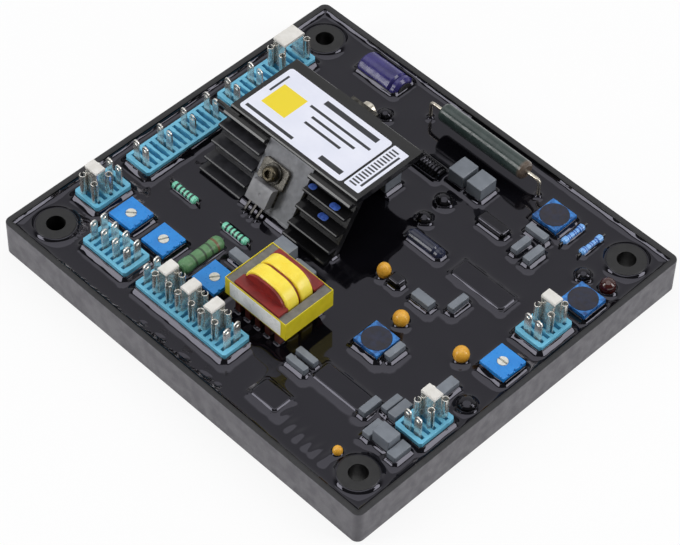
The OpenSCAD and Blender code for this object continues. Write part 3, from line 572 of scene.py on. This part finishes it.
RINGS_AT = (-57.6, -51.6)  # rings frozen in the surface
DRIPS_FROM = (34.9, -57.0)  # row of drips
DRIPS_TO = (53.4, -58.8)
WRINKLE_Y = -62.7  # wrinkles by the front wall: place in X and length
WRINKLES = [(-17.8, 1.0), (-10.8, 1.4), (-0.6, 1.6), (8.6, 1.7), (13.5, 0.9)]
MARK_HIGH = 0.02  # a mark higher than this gets cells as fine as those 1 mm from a contact
MARK_NEAR = 1.0

COARSE = (73, 66)  # coarse cells of the grid along each side
STEPS = 8  # fine steps across a coarse cell
# A cell of so many steps is split between these distances to a contact
SPLIT = {8: (-1.0, 4.2), 4: (-0.5, 2.1), 2: (-0.2, 0.5)}


def from_box(x, y, lo, hi, grow=0.0, corner=0.3):
    """Distance from a rectangle in plan with round corners, negative inside."""
    dx = np.abs(x - (lo[X] + hi[X]) / 2) - (hi[X] - lo[X]) / 2 - grow + corner
    dy = np.abs(y - (lo[Y] + hi[Y]) / 2) - (hi[Y] - lo[Y]) / 2 - grow + corner
    return np.hypot(np.maximum(dx, 0), np.maximum(dy, 0)) + np.minimum(np.maximum(dx, dy), 0) - corner


def from_disc(x, y, centre, radius):
    """Distance from a disc in plan, negative inside."""
    return np.hypot(x - centre[X], y - centre[Y]) - radius


def ripple(x, y, size, seed):
    """Smooth uneven field between about -1 and 1: a sum of waves of about a given length."""
    rng = np.random.default_rng(seed)
    out = np.zeros_like(x)
    for _ in range(RIPPLE_WAVES):
        turn = rng.uniform(0, 2 * math.pi)
        k = 2 * math.pi / (size * rng.uniform(0.7, 1.5))
        out += np.sin(k * (x * math.cos(turn) + y * math.sin(turn)) + rng.uniform(0, 6.3))
    return out / RIPPLE_SUM


def box_contacts(x, y):
    """Contacts with square parts that leave a pocket."""
    for key in "abcdefg":
        lo, hi = node_box("block_" + key)
        yield from_box(x, y, lo, hi, corner=0.7), "block", True
    for node in ["trimmer_one", "trimmer_two", "trimmer_three", "trimmer_four", "sealed_trimmers"]:
        for lo, hi in islands(node):
            yield from_box(x, y, lo, hi, corner=0.6), "trimmer", True
    boxes = islands("film_capacitors") + islands("tall_capacitors")
    pull = sum(np.exp(-np.minimum(from_box(x, y, lo, hi), FAR) / MERGE) for lo, hi in boxes)
    yield -MERGE * np.log(pull), "film", True
    for lo, hi in islands("black_capacitors"):
        yield from_box(x, y, lo, hi, grow=-0.2, corner=0.9), "black_box", True
    for node, kind in [("can_sleeve", "can"), ("axial_capacitor", "axial"), ("ribbed_choke", "choke")]:
        lo, hi = node_box(node)
        yield from_box(x, y, lo, hi, grow=-0.3, corner=0.8), kind, True


def round_contacts(x, y):
    """Contacts with domes, beads, posts and legs."""
    for node in ["black_devices", "indicator_lamp"]:
        for lo, hi in islands(node):
            yield from_disc(x, y, (lo + hi) / 2, (hi[X] - lo[X]) / 2), "dome", True
    for lo, hi in islands("bead_capacitors"):
        yield from_disc(x, y, (lo + hi) / 2, (hi[X] - lo[X]) * BEAD_FOOT), "bead", False
    for lo, hi in islands("wirewound_leads"):
        mid = (lo + hi) / 2
        post_x = lo[X] + POST_R if mid[X] < 0 else hi[X] - POST_R
        yield from_disc(x, y, (post_x, mid[Y]), POST_R), "post", False
    lo, hi = node_box("thyristor_frame")
    for k in (-1, 0, 1):
        leg = ((lo[X] + hi[X]) / 2 + LEG_PITCH * k, lo[Y] + LEG_IN)
        yield from_disc(x, y, leg, LEG_R), "leg", False


def contacts(x, y):
    """Everything that the resin climbs: distance, kind of climb, whether it leaves a pocket."""
    yield np.minimum(INNER[X] - np.abs(x), INNER[Y] - np.abs(y)), "wall", False
    for boss in BOSS:
        yield from_disc(x, y, boss, BOSS_R), "boss", False
    yield from box_contacts(x, y)
    yield from round_contacts(x, y)
    for node in ["teal_resistors", "blue_resistors", "power_resistor"]:
        for lo, hi in islands(node):
            yield from_box(x, y, lo, hi, grow=-0.35, corner=0.4), "resistor", False
    for lo, hi in islands("transformer_pins"):
        yield from_box(x, y, lo, hi, grow=0.65), "pin", False
    for lo, hi in islands("potted_chips") + islands("potted_module"):
        yield from_box(x, y, lo, hi, grow=0.9, corner=0.9), "mound", False
    lo, hi = node_box("mounting_plate")
    yield from_box(x, y, lo, (hi[X], lo[Y] + PLATE_FOOT)), "plate", False
    lo, hi = node_box("heatsink")
    yield from_box(x, y, (lo[X] + SINK_FOOT_X, SINK_FOOT_Y[0]), (hi[X], SINK_FOOT_Y[1])), "sink", False


def climb(d, ramp, gentle, lip):
    """Height of the resin beside one contact: a lip, a straight ramp and a gentle foot."""
    over = np.clip((ramp / RAMP_SLOPE - d) / RAMP_SOFT, -FAR, FAR)
    straight = RAMP_SLOPE * RAMP_SOFT * np.log1p(np.exp(over))
    return straight + gentle * np.exp(-d / GENTLE) + lip * np.exp(-d / LIP)


def rings(x, y, at, size, pitch, high):
    """Rings frozen in the resin round a place."""
    r = np.hypot(x - at[X], y - at[Y])
    return high * np.exp(-(r / size) ** 2) * np.cos(2 * math.pi * r / pitch)


def drips(x, y, start, end, count, high):
    """Row of small runs frozen in the resin, each with a broad foot towards the front wall."""
    rng = np.random.default_rng(12)
    out = np.zeros_like(x)
    for k in range(count):
        share = k / (count - 1)
        cx = start[X] + share * (end[X] - start[X]) + rng.uniform(-0.3, 0.3)
        cy = start[Y] + share * (end[Y] - start[Y]) + rng.uniform(-0.4, 0.4)
        wide = np.clip(1.4 - 0.2 * (y - cy), 0.6, 1.9)
        out += rng.uniform(0.8, 1.1) * np.exp(-((x - cx) / wide) ** 2 - ((y - cy) / 2.7) ** 2)
    return high * out


def wrinkles(x, y, row, places, deep):
    """Small sunken wrinkles along the front wall, each a little askew."""
    out = np.zeros_like(x)
    for cx, length in places:
        out += np.exp(-((x - cx) / length) ** 2 - ((y - row - 0.12 * (x - cx)) / 0.5) ** 2)
    return -deep * out


def nearer(d, near):
    """The smaller of two distances, with its sign."""
    return np.where(np.abs(d) < np.abs(near), d, near)


def resin_height(x, y):
    """Height of the resin and the distance to the nearest contact."""
    uneven = 1 + 0.07 * ripple(x, y, size=9, seed=3) + 0.03 * ripple(x, y, size=3.5, seed=4)
    total = np.zeros_like(x)
    near = np.full_like(x, np.inf)
    sunk = np.zeros_like(x)
    for d, kind, pocket in contacts(x, y):
        total += (uneven * climb(np.maximum(d, 0), *CLIMB[kind])) ** BLEND
        near = nearer(d, near)
        if pocket:
            sunk = np.maximum(sunk, np.clip((-d - POCKET_EDGE) / POCKET_WALL, 0, 1))
    rise = total ** (1 / BLEND)
    for lo, hi in islands("potted_chips") + islands("potted_module"):
        d = from_box(x, y, lo, hi, grow=-0.2, corner=0.6)
        t = np.clip((MOUND_REACH - d) / MOUND_RUN, 0, 1)
        over = hi[Z] - RESIN_Z + SKIN + 0.04 * ripple(x, y, size=7, seed=6)
        rise = np.maximum(rise, over * t * t * (3 - 2 * t))
        near = nearer(d, near)
    rise += 0.02 * ripple(x, y, size=30, seed=8) + 0.008 * ripple(x, y, size=11, seed=5)
    marks = rings(x, y, RINGS_AT, size=3.4, pitch=1.3, high=0.07)
    marks += drips(x, y, DRIPS_FROM, DRIPS_TO, count=6, high=0.36)
    marks += wrinkles(x, y, WRINKLE_Y, WRINKLES, deep=0.42)
    rise += marks
    near = np.where((np.abs(marks) > MARK_HIGH) & (np.abs(near) > MARK_NEAR), MARK_NEAR, near)
    return RESIN_Z + rise * (1 - sunk) + (POCKET_Z - RESIN_Z) * sunk, near


def quad_leaves(near):
    """Square cells of the grid, fine near a contact and coarse away from it: column, row, size."""
    leaves = []
    cells = [(i * STEPS, j * STEPS, STEPS) for j in range(COARSE[1]) for i in range(COARSE[0])]
    while cells:
        i, j, s = cells.pop()
        d = near[j:j + s + 1, i:i + s + 1]
        if s in SPLIT and ((d > SPLIT[s][0]) & (d < SPLIT[s][1])).any():
            h = s // 2
            cells += [(i, j, h), (i + h, j, h), (i, j + h, h), (i + h, j + h, h)]
        else:
            leaves.append((i, j, s))
    return leaves


def leaf_faces(leaves, shape):
    """Faces of the cells, with a corner wherever a finer neighbour has one."""
    used = np.zeros(shape, bool)
    for i, j, s in leaves:
        used[[j, j, j + s, j + s], [i, i + s, i + s, i]] = True
    faces = []
    for i, j, s in leaves:
        corners = [(i, j), (i + s, j), (i + s, j + s), (i, j + s)]
        loop = []
        for (ai, aj), (bi, bj) in zip(corners, corners[1:] + corners[:1]):
            for t in range(s):
                p = (ai + (bi - ai) * t // s, aj + (bj - aj) * t // s)
                if used[p[1], p[0]]:
                    loop.append(p)
        faces.append(loop)
    return used, faces


def close_below(mesh, depth):
    """Closes an open surface with walls down to a flat underside."""
    bm = bmesh.new()
    bm.from_mesh(mesh)
    rim = [e for e in bm.edges if e.is_boundary]
    for v in bmesh.ops.extrude_edge_only(bm, edges=rim)["geom"]:
        if isinstance(v, bmesh.types.BMVert):
            v.co.z = depth
    bmesh.ops.triangle_fill(bm, use_beauty=True, edges=[e for e in bm.edges if e.is_boundary])
    bmesh.ops.recalc_face_normals(bm, faces=bm.faces)
    bm.to_mesh(mesh)
    bm.free()


def pour():
    """The resin as a closed mesh, with the true normals of its surface."""
    across = np.linspace(-INNER[X], INNER[X], COARSE[0] * STEPS + 1)
    along = np.linspace(-INNER[Y], INNER[Y], COARSE[1] * STEPS + 1)
    gx, gy = np.meshgrid(across, along)
    gz, near = resin_height(gx, gy)
    slope_y, slope_x = np.gradient(gz, along, across)
    normal = np.stack([-slope_x, -slope_y, np.ones_like(gz)], -1)
    normal /= np.linalg.norm(normal, axis=-1, keepdims=True)

    boss_d = np.minimum.reduce([from_disc(gx, gy, boss, BOSS_R - BOSS_LAP) for boss in BOSS])
    leaves = [(i, j, s) for i, j, s in quad_leaves(near) if boss_d[j:j + s + 1, i:i + s + 1].max() > 0]
    used, faces = leaf_faces(leaves, gz.shape)
    index = np.full(gz.shape, -1)
    index[used] = np.arange(used.sum())
    co = np.stack([gx[used], gy[used], gz[used]], -1) * MM
    mesh = bpy.data.meshes.new("poured_resin")
    mesh.from_pydata(co.tolist(), [], [[int(index[j, i]) for i, j in loop] for loop in faces])

    close_below(mesh, UNDERSIDE_Z * MM)
    mesh.shade_smooth()
    normals = [(0.0, 0.0, -1.0)] * len(mesh.vertices)
    normals[:len(co)] = normal[used].tolist()
    mesh.normals_split_custom_set_from_vertices(normals)
    place(new_object("poured_resin", mesh), "resin", nodes=["potting_resin"])


pour()

# The CAD shapes with eased edges: width in mm, segments

STICKER_T = 0.06
SINK_TOP = node_box("heatsink")[1][Z]

EASED = {
    "mounting_plate": (0.25, 2),
    "thyristor_body": (0.3, 2),
    "thyristor_frame": (0.15, 2),
    "thyristor_washer": (0.16, 2),
    "thyristor_screw": (0.2, 2),
    "rear_device_body": (0.3, 2),
    "rear_device_frame": (0.15, 2),
    "rear_device_screw": (0.2, 2),
    "transformer_core": (0.12, 2),
    "transformer_bobbin": (0.15, 2),
    "front_winding": (0.9, 4),
    "rear_winding": (0.9, 4),
    "transformer_tape": (0.06, 1),
    "transformer_pins": (0.12, 1),
    "terminal_tabs": (0.14, 2),
    "link_bodies": (0.15, 2),
    "link_caps": (0.12, 2),
    "sealed_trimmers": (0.3, 2),
    "trimmer_seals": (0.08, 2),
    "film_capacitors": (0.3, 3),
    "tall_capacitors": (0.35, 3),
    "black_capacitors": (0.9, 4),
}

eased("tray", 0.45, 3)
eased("heatsink", 0.28, 3, ceiling=SINK_TOP - STICKER_T)
eased("link_contacts", 0.06, 1, angle=50.0)
for node, (width, segments) in EASED.items():
    eased(node, width, segments)
for key in "abcdefg":
    eased("block_" + key, 0.16, 2)
for key in ["one", "two", "three", "four"]:
    eased("trimmer_" + key, 0.22, 2, outer_only=True)
    eased("rotor_" + key, 0.1, 2)

# Nodes that keep their CAD shape

KEPT = ["can_sleeve", "can_seal", "axial_capacitor", "bead_capacitors", "wirewound_tube", "wirewound_leads",
        "power_resistor", "power_leads", "teal_resistors", "blue_resistors", "small_leads",
        "indicator_lamp", "black_devices", "ribbed_choke", "potted_chips", "potted_module", "circuit_board"]
for node in KEPT:
    paint(NODES[node], node_look(node))

# Painted bands on the resistors: shares of half the length, or mm from the middle of the green one

TEAL_BANDS = (-0.62, -0.3, 0.0, 0.3, 0.62)
BLUE_BANDS = (-0.5, 0.05, 0.5)
GREEN_BANDS = (-3.4, 0.2, 2.9)
BROWN_BAND = 5.2
for lo, hi in islands("teal_resistors"):
    mid, half = (lo[X] + hi[X]) / 2, (hi[X] - lo[X]) / 2
    LOOKS["lacquer_teal"].band(X, [mid + half * k for k in TEAL_BANDS], width=0.75, color=srgb(28, 40, 40))
for lo, hi in islands("blue_resistors"):
    mid, half = (lo[Y] + hi[Y]) / 2, (hi[Y] - lo[Y]) / 2
    LOOKS["lacquer_blue"].band(Y, [mid + half * k for k in BLUE_BANDS], width=0.45, color=srgb(62, 100, 176))
lo, hi = node_box("power_resistor")
mid = (lo[Y] + hi[Y]) / 2
LOOKS["lacquer_green"].band(Y, [mid + k for k in GREEN_BANDS], width=0.7, color=srgb(56, 78, 56))
LOOKS["lacquer_green"].band(Y, [mid + BROWN_BAND], width=0.8, color=srgb(112, 84, 58))

# Bare end of the glazed tube, and painted shade on the bobbin's feet under the core and on the device's
# lower legs

BOBBIN_SHADE_Z = (8.0, 15.4)
LEG_SHADE_Z = (8.0, 16.2)
GLAZE, BOBBIN, LEGS = LOOKS["glaze_green"], LOOKS["bobbin_red"], LOOKS["device_metal"]
GLAZE.band(X, [node_box("wirewound_tube")[1][X]], width=3.2, color=srgb(96, 84, 74), soft=0.5)
# Painted shade: the bobbin's feet under the core are tinted a darker brown
BOBBIN.tint(BOBBIN.between(Z, *BOBBIN_SHADE_Z, soft=0.6), srgb(84, 34, 26))
# Painted shade: the lower legs of the device are tinted a darker grey
LEGS.tint(LEGS.between(Z, *LEG_SHADE_Z, soft=0.8), srgb(64, 62, 60))

# Stickers on the heatsink, with plain bars in place of print: first and last X, first and last Y

PAPER = LOOKS["paper_white"]
INK = srgb(44, 46, 52)
LARGE_STICKER = (-48.9, -5.5, 4.8, 27.2)
NARROW_STICKER = (-4.65, 1.36, 5.4, 26.9)
YELLOW_FIELD = (-45.4, -35.4, 10.8, 20.8)
RUNG_FIELD = (-4.0, -1.2, 6.6, 25.7)
BARS = [
    (-47.2, -46.4, 15.8, 24.1),
    (-31.4, -9.2, 23.4, 25.4),
    (-33.6, -8.4, 19.7, 20.7),
    (-30.0, -12.0, 16.7, 17.7),
    (-30.0, -15.0, 13.7, 14.7),
    (-47.6, -27.6, 6.2, 7.4),
    (-16.8, -7.6, 6.6, 8.5),
    (-0.5, 0.3, 8.0, 24.3),
]
PAPER.patch(*YELLOW_FIELD, srgb(240, 216, 40))
PAPER.rungs(*RUNG_FIELD, count=15, width=0.62, color=INK)
for bar in BARS:
    PAPER.patch(*bar, INK)
for name, sides, corner in [("large_sticker", LARGE_STICKER, 1.2), ("narrow_sticker", NARROW_STICKER, 0.4)]:
    sticker = slab(name, rounded(*sides, corner), SINK_TOP - STICKER_T, SINK_TOP)
    place(sticker, "paper_white")

# Blank sticker on the front of the transformer, with a margin of tape round it, in a brighter copy of the
# paper as painted light

MARGIN_X, MARGIN_Z = 2.1, 0.5
lo, hi = node_box("transformer_tape")
outline = rounded(lo[X] + MARGIN_X, hi[X] - MARGIN_X, lo[Z] + MARGIN_Z, hi[Z] - MARGIN_Z, 0.4)
upright = Matrix.Translation((0, lo[Y], 0)) @ Matrix.Rotation(math.radians(90), 4, "X")
place(slab("core_sticker", outline, 0.0, STICKER_T, upright), "paper_bright")

# Dabs of paint on the right-hand fins: centre in X, Y and Z, sides in X and Y

DAB_T = 0.1
DAB_SUNK = 0.05
DAB_CORNER = 0.9
DABS = [(-12.6, 0.6, 25.8, 2.6, 2.2), (-2.5, -0.2, 25.8, 3.4, 2.4), (-5.1, -2.4, 20.9, 3.4, 2.4)]
for number, (x, y, z, w, d) in enumerate(DABS, 1):
    outline = rounded(x - w / 2, x + w / 2, y - d / 2, y + d / 2, DAB_CORNER)
    dab = slab("paint_dab_%d" % number, outline, z - DAB_SUNK, z + DAB_T)
    place(ease(dab, 0.06), "dab_blue")

# Studio: floor, world, lamps, camera. Sizes are in metres

scene = bpy.context.scene
scene.view_settings.view_transform = "Standard"


def make_floor(size, glow_share):
    """Pale floor that shows white to the camera and in reflections, and keeps part of its shadow."""
    bm = bmesh.new()
    bmesh.ops.create_grid(bm, x_segments=1, y_segments=1, size=size)
    floor = piece("floor", bm)
    pale = look("floor", srgb(246, 246, 247), 0.9).mottle(300, srgb(243, 243, 244), 0.5)
    glow = pale.node("ShaderNodeEmission")
    ray = pale.node("ShaderNodeLightPath").outputs
    mirrored = pale.math("MAXIMUM", ray["Is Glossy Ray"], ray["Is Transmission Ray"])
    seen = pale.math("MAXIMUM", ray["Is Camera Ray"], mirrored)
    mix = pale.node("ShaderNodeMixShader")
    pale.link(pale.math("MULTIPLY", seen, glow_share), mix.inputs[0])
    pale.link(pale.bsdf.outputs[0], mix.inputs[1])
    pale.link(glow.outputs[0], mix.inputs[2])
    pale.link(mix.outputs[0], pale.tree.nodes["Material Output"].inputs["Surface"])
    paint(floor, "floor")


def make_world(dim, bright, ceiling, ceiling_angle):
    """Even sky, brighter on the far side of the object, with a round white ceiling above it."""
    world = bpy.data.worlds.new("studio")
    world.use_nodes = True
    scene.world = world
    tree = world.node_tree
    way = tree.nodes.new("ShaderNodeTexCoord").outputs["Generated"]

    def rising(axis, start, end, low, high):
        along = tree.nodes.new("ShaderNodeVectorMath")
        along.operation = "DOT_PRODUCT"
        along.inputs[1].default_value = axis
        tree.links.new(way, along.inputs[0])
        level = tree.nodes.new("ShaderNodeMapRange")
        level.interpolation_type = "SMOOTHSTEP"
        for key, value in zip(("From Min", "From Max", "To Min", "To Max"), (start, end, low, high)):
            level.inputs[key].default_value = value
        tree.links.new(along.outputs["Value"], level.inputs["Value"])
        return level.outputs["Result"]

    edge = math.cos(math.radians(ceiling_angle))
    soft = 0.012
    mix = tree.nodes.new("ShaderNodeMix")
    tree.links.new(rising((0, 0, 1), edge - soft, edge + soft, 0.0, 1.0), mix.inputs["Factor"])
    tree.links.new(rising(VIEW_AWAY, 0.12, 0.5, dim, bright), mix.inputs["A"])
    mix.inputs["B"].default_value = ceiling
    background = tree.nodes["Background"]
    background.inputs["Color"].default_value = (1, 1, 1, 1)
    tree.links.new(mix.outputs[0], background.inputs["Strength"])


def softbox(name, direction, across, distance=1.2, size=(0.42, 0.85), radiance=5.0):
    """Rectangular lamp facing the object, its first side along across, of a given brightness to look at."""
    lamp = bpy.data.lights.new(name, "AREA")
    lamp.shape = "RECTANGLE"
    lamp.size, lamp.size_y = size
    lamp.energy = radiance * math.pi * size[0] * size[1]
    obj = new_object(name, lamp)
    z = Vector(direction).normalized()
    x = (Vector(across) - z * z.dot(across)).normalized()
    obj.matrix_world = Matrix.Translation(z * distance) @ Matrix((x, z.cross(x), z)).transposed().to_4x4()
    obj.visible_camera = False


def make_camera():
    """Camera at the photo's place and angle."""
    level = math.cos(VIEW_EL)
    back = Vector((math.sin(VIEW_AZ) * level, -math.cos(VIEW_AZ) * level, math.sin(VIEW_EL)))
    up = back.cross(VIEW_RIGHT)
    c, s = math.cos(VIEW_ROLL), math.sin(VIEW_ROLL)
    camera = new_object("camera", bpy.data.cameras.new("camera"))
    axes = Matrix((c * VIEW_RIGHT + s * up, c * up - s * VIEW_RIGHT, back))
    camera.matrix_world = axes.transposed().to_4x4()
    camera.location = CAMERA_AT
    camera.data.sensor_width = SENSOR
    camera.data.lens = LENS
    scene.camera = camera


make_floor(size=4.0, glow_share=0.86)
make_world(dim=0.1, bright=0.68, ceiling=1.5, ceiling_angle=33.0)
softbox("left_box", (-0.45, -0.72, 0.45), (0.85, -0.53, 0))
softbox("right_box", (0.72, 0.47, 0.45), (-0.55, 0.84, 0))
make_camera()
